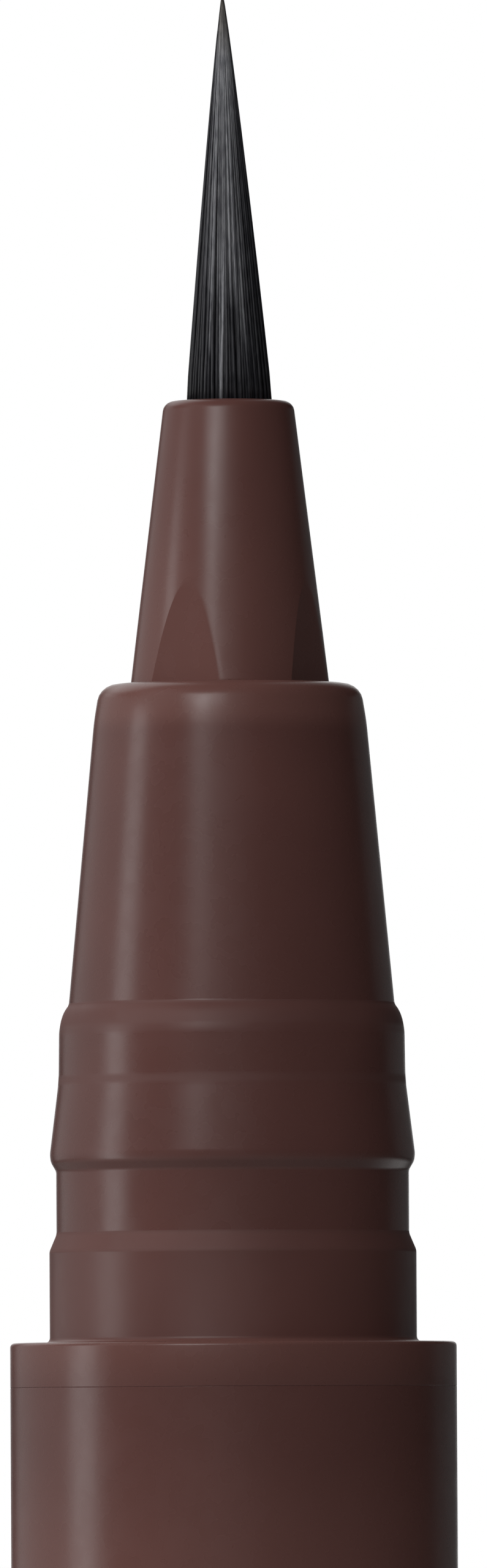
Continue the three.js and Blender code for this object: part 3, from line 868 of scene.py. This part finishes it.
def shade_at(spot, share, light):
    """A strand's shade from 0, dark, to 1, light, at a share of the bundle's length, with painted shade
    towards its sides.
    """
    along = SHADE_STEPS[-1][1]
    for (start, low), (end, high) in zip(SHADE_STEPS, SHADE_STEPS[1:]):
        if start <= share < end:
            along = low + (high - low) * (share - start) / (end - start)
    along += (STREAK_SHADE - along) * light
    return along * (1 - (1 - PAINTED_EDGE_SHADE) * ease((abs(spot.x) - EDGE_START) / EDGE_FADE))


def model_bristle():
    """Models one straight bristle, one unit long and one unit in radius, with rings to bend it at."""
    bpy.ops.object.select_all(action="DESELECT")
    bpy.ops.mesh.primitive_cone_add(vertices=BRISTLE_SIDES, radius1=1, radius2=0, depth=1)
    bristle = start_piece("bristle")
    bpy.ops.transform.translate(value=(0, 0, 0.5))
    for ring in BRISTLE_RINGS:
        bpy.ops.mesh.select_all(action="SELECT")
        bpy.ops.mesh.bisect(plane_co=(0, 0, ring), plane_no=(0, 0, 1))
    bpy.ops.object.mode_set(mode="OBJECT")
    return bristle


def bend_bristle(bristle, spot, lock, end, thickness, foot, length, wave):
    """Places and bends a copy of the bristle so that it follows the bundle to its own end."""
    inside = 1 - thickness / SPREAD_RADIUS
    for point in bristle.data.vertices:
        along = point.co.z
        share = along * end
        width = bundle_width(share)
        pull = LOCK_PULL * ease(share / LOCK_REACH)
        gathered = spot.lerp(lock, pull).normalized() * spot.length
        centre = gathered * inside * width * SPREAD_RADIUS
        sway = WOBBLE * width * math.sin(wave + WOBBLE_PACE * share)
        lean = FOOT_LEAN + (TIP_LEAN - FOOT_LEAN) * share
        body = thickness * width * math.sqrt(min(1.0, (1 - along) / BRISTLE_TAPER))
        rim = Vector((0, 0))
        if along < 1 - SAME_PLACE:
            rim = point.co.xy / (1 - along) * body
        point.co = Vector((
            (centre.x + rim.x + lean + sway * spot.y) * MM,
            (centre.y + rim.y - sway * spot.x) * MM,
            (foot + share * length) * MM,
        ))


def multiply_colours(finish, first, second):
    """One colour tinted by another."""
    blend = finish.node_tree.nodes.new("ShaderNodeMix")
    blend.data_type = "RGBA"
    blend.blend_type = "MULTIPLY"
    blend.inputs["Factor"].default_value = 1.0
    finish.node_tree.links.new(first, blend.inputs[MIX_FIRST])
    finish.node_tree.links.new(second, blend.inputs[MIX_SECOND])
    return blend.outputs[MIX_RESULT]


def charcoal_filament(name):
    """Charcoal filaments, soaked and dark at the root, greyer higher up, partly as a painted sheen, and
    brown at the tip.
    """
    finish, shader, place = new_finish(name)
    greys = ((0.0, paint(14, 14, 16)), (0.3, paint(56, 56, 60)), (1.0, paint(188, 189, 193)))
    shade = tint_over(finish, read_mark(finish, "shade"), greys)
    flecks = add_mottle(finish, draw_out(finish, place, FLECK_LENGTH), size=0.09, detail=3.0)
    fleck_greys = ((0.35, paint(190, 190, 194)), (0.6, paint(255, 255, 255)))
    shade = multiply_colours(finish, shade, tint_over(finish, flecks, fleck_greys))
    tip_browns = ((0.85, paint(255, 255, 255)), (1.0, paint(235, 222, 200)))
    shade = multiply_colours(finish, shade, tint_over(finish, read_mark(finish, "along"), tip_browns))
    finish.node_tree.links.new(shade, shader.inputs["Base Color"])
    spread_over(finish, flecks, shader.inputs["Roughness"], low=0.3, high=0.45)
    emboss(finish, shader, flecks, depth=0.002)
    return finish


brush_foot, brush_top = levels_of("brush_tip")
bundle_foot = nose_high - BUNDLE_RECESS
bundle_length = brush_top - bundle_foot
brush = turn_piece("bristle_bundle", (
    (0, brush_foot + ROOT_SOCKET),
    (RELAY_BORE, brush_foot + ROOT_SOCKET, CRISP_EDGE),
    (RELAY_BORE, brush_foot, CRISP_EDGE),
    (ROOT_RADIUS, brush_foot, SOFT_EDGE),
    (ROOT_RADIUS, brush_foot + ROOT_HEIGHT, SOFT_EDGE),
    (BUNDLE_RADIUS, brush_foot + ROOT_HEIGHT, CRISP_EDGE),
    (BUNDLE_RADIUS, bundle_foot, CRISP_EDGE),
    (0, bundle_foot),
))
mark_points(brush.data, "along", [0.0] * len(brush.data.vertices))
mark_points(brush.data, "shade", [SHADE_STEPS[0][1] / 2] * len(brush.data.vertices))
draw = random.Random(BRISTLE_SEED)
bands = [draw.random() for number in range(BAND_COUNT)]
lock_spots = [sunflower_spot(number, LOCK_COUNT) for number in range(LOCK_COUNT)]
bristle_room = SPREAD_RADIUS * math.sqrt(math.pi / BRISTLE_COUNT)
pattern_bristle = model_bristle()
bristles = []
for number in range(BRISTLE_COUNT):
    spot = sunflower_spot(number, BRISTLE_COUNT)
    lock = min(lock_spots, key=lambda other: (other - spot).length)
    end = 1 - SHORTENING * draw.random() ** SHORT_POWER
    chance = band_light(spot, bands)
    bristle = pattern_bristle.copy()
    bristle.data = pattern_bristle.data.copy()
    bpy.context.collection.objects.link(bristle)
    shares = [point.co.z * end for point in bristle.data.vertices]
    mark_points(bristle.data, "along", shares)
    shades = [shade_at(spot, share, strand_light(spot, share, chance)) for share in shares]
    mark_points(bristle.data, "shade", shades)
    bend_bristle(
        bristle, spot, lock, end, bristle_room * BRISTLE_FILL / 2,
        bundle_foot - BRISTLE_SINK, bundle_length + BRISTLE_SINK, draw.uniform(0, 2 * math.pi),
    )
    bristles.append(bristle)
bpy.data.objects.remove(pattern_bristle)
bpy.ops.object.select_all(action="DESELECT")
for bristle in bristles:
    bristle.select_set(True)
brush.select_set(True)
bpy.context.view_layer.objects.active = brush
bpy.ops.object.join()
bpy.ops.object.shade_smooth_by_angle(angle=BRISTLE_ANGLE)
brush.data.materials.clear()
brush.data.materials.append(charcoal_filament("charcoal_filament"))
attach(brush, "pen")
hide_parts("brush_tip")

# Cap spring: a coil of steel wire on the cap's floor. It presses the inner cap against the front section's
# cone when the cap is on the front of the pen.
WIRE_RADIUS = 0.2
WIRE_SIDES = 14
WIRE_ANGLE = math.radians(40)
COIL_RADIUS = 2.8
COIL_TURNS = 4
COIL_STEPS = 40

spring_foot, spring_top = levels_of("cap_spring")
coil_rise = spring_top - spring_foot - 2 * WIRE_RADIUS
bpy.ops.object.select_all(action="DESELECT")
bpy.ops.mesh.primitive_circle_add(
    vertices=WIRE_SIDES,
    radius=WIRE_RADIUS * MM,
    fill_type="NOTHING",
    rotation=(math.pi / 2, 0, 0),
    location=(COIL_RADIUS * MM, 0, (spring_foot + WIRE_RADIUS) * MM),
)
bpy.ops.object.transform_apply(location=True, rotation=True, scale=True)
spring = start_piece("cap_coil")
bpy.ops.object.mode_set(mode="OBJECT")
winding = spring.modifiers.new("winding", "SCREW")
winding.axis = "Z"
winding.angle = 2 * math.pi
winding.screw_offset = coil_rise * MM / COIL_TURNS
winding.iterations = COIL_TURNS
winding.steps = COIL_STEPS
winding.render_steps = COIL_STEPS
bpy.ops.object.modifier_apply(modifier=winding.name)
bpy.ops.object.mode_set(mode="EDIT")
bpy.ops.mesh.select_all(action="SELECT")
bpy.ops.mesh.remove_doubles(threshold=SAME_PLACE)
bpy.ops.mesh.select_all(action="DESELECT")
bpy.ops.mesh.select_mode(type="EDGE")
bpy.ops.mesh.select_non_manifold()
bpy.ops.mesh.fill_holes(sides=0)
close_skin()
bpy.ops.object.shade_smooth_by_angle(angle=WIRE_ANGLE)
spring.data.materials.append(steel)
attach(spring, "cap")
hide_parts("cap_spring")
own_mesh(spring)

# Inner cap: a thin cup of uncoloured plastic that slides in the cap on its spring and seals round the
# front section's cone, so that the brush doesn't dry.
INNER_FLANGE = 4.11
INNER_RADIUS = 3.81
INNER_BORE = 3.21
INNER_FLANGE_HEIGHT = 1.17
INNER_FLOOR = 0.77
INNER_HOLLOW = 0.4
LIP_CHAMFER = 0.3

inner_foot, inner_top = levels_of("inner_cap")
inner_cap = turn_piece("cap_inner_cup", (
    (0, inner_foot),
    (INNER_FLANGE, inner_foot, SOFT_EDGE),
    (INNER_FLANGE, inner_foot + INNER_FLANGE_HEIGHT, NEAT_EDGE),
    (INNER_RADIUS, inner_foot + INNER_FLANGE_HEIGHT, SMALL_EDGE),
    (INNER_RADIUS, inner_top - LIP_CHAMFER, SOFT_EDGE),
    (INNER_RADIUS - LIP_CHAMFER, inner_top, SOFT_EDGE),
    (INNER_BORE, inner_top, SMALL_EDGE),
    (INNER_BORE, inner_foot + INNER_FLOOR, INNER_HOLLOW),
    (0, inner_foot + INNER_FLOOR),
))
inner_cap.data.materials.append(natural)
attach(inner_cap, "inner_cap")
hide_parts("inner_cap")

# Cap: a brown moulding as wide as the barrel, closed at its foot. A ring in its bore clips into the front
# section's groove, and a rib further in keeps the inner cap from coming out.
CAP_BORE = 4.17
CAP_FLOOR = 1.5
CAP_END_ROUND = 0.5
CAP_RIM_ROUND = 0.14
CAP_HOLLOW = 0.2
CLIP_RADIUS = 4.01
CLIP_DEPTH = 3.125
CLIP_HALF = 0.575
CLIP_CREST = 0.25
KEEPER_RADIUS = 3.87
KEEPER_HEIGHT = 0.5
KEEPER_PLAY = 0.03

cap_foot, cap_top = levels_of("cap_shell")
keeper_foot = inner_foot + INNER_FLANGE_HEIGHT + KEEPER_PLAY
keeper_top = keeper_foot + KEEPER_HEIGHT
cap = turn_piece("cap_outer", (
    (0, cap_foot),
    (BARREL_RADIUS, cap_foot, CAP_END_ROUND),
    (BARREL_RADIUS, cap_top, CAP_RIM_ROUND),
    (CAP_BORE, cap_top, SOFT_EDGE),
    (CAP_BORE, cap_top - CLIP_DEPTH + CLIP_HALF),
    (CLIP_RADIUS, cap_top - CLIP_DEPTH + CLIP_CREST, SMALL_EDGE),
    (CLIP_RADIUS, cap_top - CLIP_DEPTH - CLIP_CREST, SMALL_EDGE),
    (CAP_BORE, cap_top - CLIP_DEPTH - CLIP_HALF),
    (CAP_BORE, keeper_top, CRISP_EDGE),
    (KEEPER_RADIUS, keeper_top, SOFT_EDGE),
    (KEEPER_RADIUS, keeper_foot, TIGHT_EDGE),
    (CAP_BORE, keeper_foot, TIGHT_EDGE),
    (CAP_BORE, cap_foot + CAP_FLOOR, CAP_HOLLOW),
    (0, cap_foot + CAP_FLOOR),
))
cap.data.materials.append(body_brown)
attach(cap, "cap")
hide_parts("cap_shell")

# Floor: a plain pale sheet that the cap's end stands on. Seen by the camera it is almost white, and it
# keeps the pen's shadow. A patch of it behind the pen, on the right, glows white but only in the plastic's
# gloss.
FLOOR_SIZE = 4.0
FLOOR_DROP = 0.02
FLOOR_ROUGHNESS = 0.9
NEAR_GLOW = 0.7
FAR_GLOW = 1.0
GLOW_REACH = (0.2, 0.9)  # metres, from the near glow to the far one
PATCH_GLOSS = 0.36
PATCH_MIDDLE = (0.24, 0.32, 0)
PATCH_REACH = (0.1, 0.26)


def gloss_rays(tree, rays):
    """1 for rays that come off gloss or through glass."""
    return reckon(tree, "ADD", rays.outputs["Is Glossy Ray"], rays.outputs["Is Transmission Ray"])


bpy.ops.object.select_all(action="DESELECT")
bpy.ops.mesh.primitive_plane_add(size=FLOOR_SIZE, location=(0, 0, (cap_foot - FLOOR_DROP) * MM))
floor = bpy.context.object
floor.name = "pale_floor"
floor_finish, floor_shader, floor_place = new_finish("pale_floor")
floor_tree = floor_finish.node_tree
pales = ((0.3, paint(142, 142, 141)), (0.7, paint(146, 146, 145)))
floor_tint = tint_over(floor_finish, add_mottle(floor_finish, floor_place, size=40), pales)
floor_tree.links.new(floor_tint, floor_shader.inputs["Base Color"])
floor_shader.inputs["Roughness"].default_value = FLOOR_ROUGHNESS
floor_shader.inputs["Specular IOR Level"].default_value = 0.0
floor_rays = floor_tree.nodes.new("ShaderNodeLightPath")
patch_distance = floor_tree.nodes.new("ShaderNodeVectorMath")
patch_distance.operation = "DISTANCE"
patch_distance.inputs[1].default_value = PATCH_MIDDLE
floor_tree.links.new(floor_place, patch_distance.inputs[0])
white_patch = map_range(floor_tree, patch_distance.outputs["Value"], *PATCH_REACH, PATCH_GLOSS, 0.0)
floor_gloss = reckon(floor_tree, "MULTIPLY", gloss_rays(floor_tree, floor_rays), white_patch)
floor_distance = floor_tree.nodes.new("ShaderNodeVectorMath")
floor_distance.operation = "LENGTH"
floor_tree.links.new(floor_place, floor_distance.inputs[0])
floor_glow = map_range(floor_tree, floor_distance.outputs["Value"], *GLOW_REACH, NEAR_GLOW, FAR_GLOW)
floor_camera = reckon(floor_tree, "MULTIPLY", floor_rays.outputs["Is Camera Ray"], floor_glow)
floor_seen = reckon(floor_tree, "ADD", floor_camera, floor_gloss)
floor_shader.inputs["Emission Color"].default_value = (1, 1, 1, 1)
floor_tree.links.new(floor_seen, floor_shader.inputs["Emission Strength"])
floor.data.materials.append(floor_finish)

# Lamps: a tall softbox at the left, two small lamps at the front left and two panels behind show in the
# plastic's gloss. Broad washes from the left, the front and the back only lighten it, as walls would.
HEAD_LEVEL = 12  # above the seat


def add_lamp(name, turn, rise, distance, size, power, in_gloss=True):
    """Adds a soft lamp that faces the head, so many degrees to the left of the front and above it."""
    turn = math.radians(turn)
    rise = math.radians(rise)
    head = Vector((0, 0, (seat + HEAD_LEVEL) * MM))
    towards = Vector((
        -math.sin(turn) * math.cos(rise),
        -math.cos(turn) * math.cos(rise),
        math.sin(rise),
    ))
    bpy.ops.object.light_add(type="AREA", location=head + towards * distance)
    lamp = bpy.context.object
    lamp.name = name
    lamp.rotation_euler = towards.to_track_quat("Z", "Y").to_euler()
    lamp.data.shape = "RECTANGLE"
    lamp.data.size = size[0]
    lamp.data.size_y = size[1]
    lamp.data.energy = power
    lamp.visible_camera = False
    lamp.visible_glossy = in_gloss


add_lamp("left_softbox", turn=84, rise=-3, distance=0.35, size=(0.10, 0.25), power=0.19)
add_lamp("low_front_lamp", turn=25, rise=22, distance=0.20, size=(0.046, 0.06), power=0.0247)
add_lamp("high_front_lamp", turn=24, rise=31, distance=0.20, size=(0.11, 0.05), power=0.045)
add_lamp("left_rear_panel", turn=125, rise=6, distance=0.50, size=(0.50, 0.26), power=0.16)
add_lamp("right_rear_panel", turn=-145, rise=4, distance=0.50, size=(0.35, 0.16), power=0.017)
add_lamp("left_wash", turn=82, rise=32, distance=0.60, size=(0.40, 0.40), power=2.4, in_gloss=False)
add_lamp("front_wash", turn=9, rise=25, distance=0.60, size=(0.40, 0.40), power=1.5, in_gloss=False)
add_lamp("rear_wash", turn=180, rise=35, distance=0.60, size=(0.40, 0.40), power=1.6, in_gloss=False)

# Room: a white background behind the pen, as the camera and the plastic's own gloss see it, a high white
# wall behind that only the gloss sees, and a dim room elsewhere.
ROOM_LIGHT = 0.05
GLOSS_LIGHT = 0.02
WALL_GLOSS = 1.0
WALL_DIM = 0.3  # at its right end
BACKDROP_SIDES = (0.08, 0.28)  # where it fades, as parts of a unit direction, like the next ones
BACKDROP_DEPTH = (0.3, 0.6)
WALL_DEPTH = (0.15, 0.5)
WALL_RISE = (0.2, 0.5)
WALL_LEFT = (-0.85, -0.6)
WALL_RIGHT = (0.2, 0.45)
WALL_FADE = (-0.3, 0.4)

world = bpy.data.worlds.new("white_room")
bpy.context.scene.world = world
world.use_nodes = True
world.cycles.sampling_method = "NONE"
room = world.node_tree
rays = room.nodes.new("ShaderNodeLightPath")
heading = room.nodes.new("ShaderNodeTexCoord")
direction = room.nodes.new("ShaderNodeSeparateXYZ")
room.links.new(heading.outputs["Generated"], direction.inputs["Vector"])
sideways = room.nodes.new("ShaderNodeMath")
sideways.operation = "ABSOLUTE"
room.links.new(direction.outputs["X"], sideways.inputs[0])
backdrop = reckon(
    room, "MULTIPLY",
    map_range(room, sideways.outputs["Value"], *BACKDROP_SIDES, 1.0, 0.0),
    map_range(room, direction.outputs["Y"], *BACKDROP_DEPTH, GLOSS_LIGHT, 1.0),
)
wall_height = reckon(
    room, "MULTIPLY",
    map_range(room, direction.outputs["Y"], *WALL_DEPTH, 0.0, WALL_GLOSS),
    map_range(room, direction.outputs["Z"], *WALL_RISE, 0.0, 1.0),
)
wall_ends = reckon(
    room, "MULTIPLY",
    map_range(room, direction.outputs["X"], *WALL_LEFT, 0.0, 1.0),
    map_range(room, direction.outputs["X"], *WALL_RIGHT, 1.0, 0.0),
)
wall_fade = map_range(room, direction.outputs["X"], *WALL_FADE, 1.0, WALL_DIM)
wall_across = reckon(room, "MULTIPLY", wall_ends, wall_fade)
high_wall = reckon(room, "MULTIPLY", wall_height, wall_across)
mirrored = reckon(room, "MAXIMUM", backdrop, high_wall)
gloss_sees = reckon(room, "MULTIPLY", gloss_rays(room, rays), mirrored)
dim_room = reckon(room, "MULTIPLY", rays.outputs["Is Diffuse Ray"], ROOM_LIGHT)
room_seen = reckon(room, "ADD", rays.outputs["Is Camera Ray"], reckon(room, "ADD", gloss_sees, dim_room))
room.nodes["Background"].inputs["Color"].default_value = (1, 1, 1, 1)
room.links.new(room_seen, room.nodes["Background"].inputs["Strength"])

# Camera: a long lens, level with the barrel's top, as in the photograph, which shows only the front 35 mm
# of the pen, leaning slightly to the left.
LENS = 450
FRAME_HEIGHT = 35.13  # millimetres of the pen
EYE_LEVEL = -3.0  # above the seat, like the aim
AIM_LEVEL = 12.51
AIM_SIDE = 0.21
NEAR_CLIP = 0.01  # metres
FAR_CLIP = 20
LEAN_LEFT = math.radians(0.3)

camera_data = bpy.data.cameras.new("long_lens")
camera_data.lens = LENS
camera = bpy.data.objects.new("long_lens", camera_data)
bpy.context.collection.objects.link(camera)
aim = Vector((AIM_SIDE, 0, seat + AIM_LEVEL)) * MM
eye_distance = LENS * FRAME_HEIGHT / camera_data.sensor_width
camera.location = Vector((AIM_SIDE, -eye_distance, seat + EYE_LEVEL)) * MM
camera.rotation_mode = "QUATERNION"
looking = (aim - camera.location).to_track_quat("-Z", "Y")
leaning = Vector((0, 0, 1)).rotation_difference(Vector((math.sin(LEAN_LEFT), 0, math.cos(LEAN_LEFT))))
camera.rotation_quaternion = leaning @ looking
camera_data.clip_start = NEAR_CLIP
camera_data.clip_end = FAR_CLIP
bpy.context.scene.camera = camera
bpy.context.scene.view_settings.view_transform = "Standard"
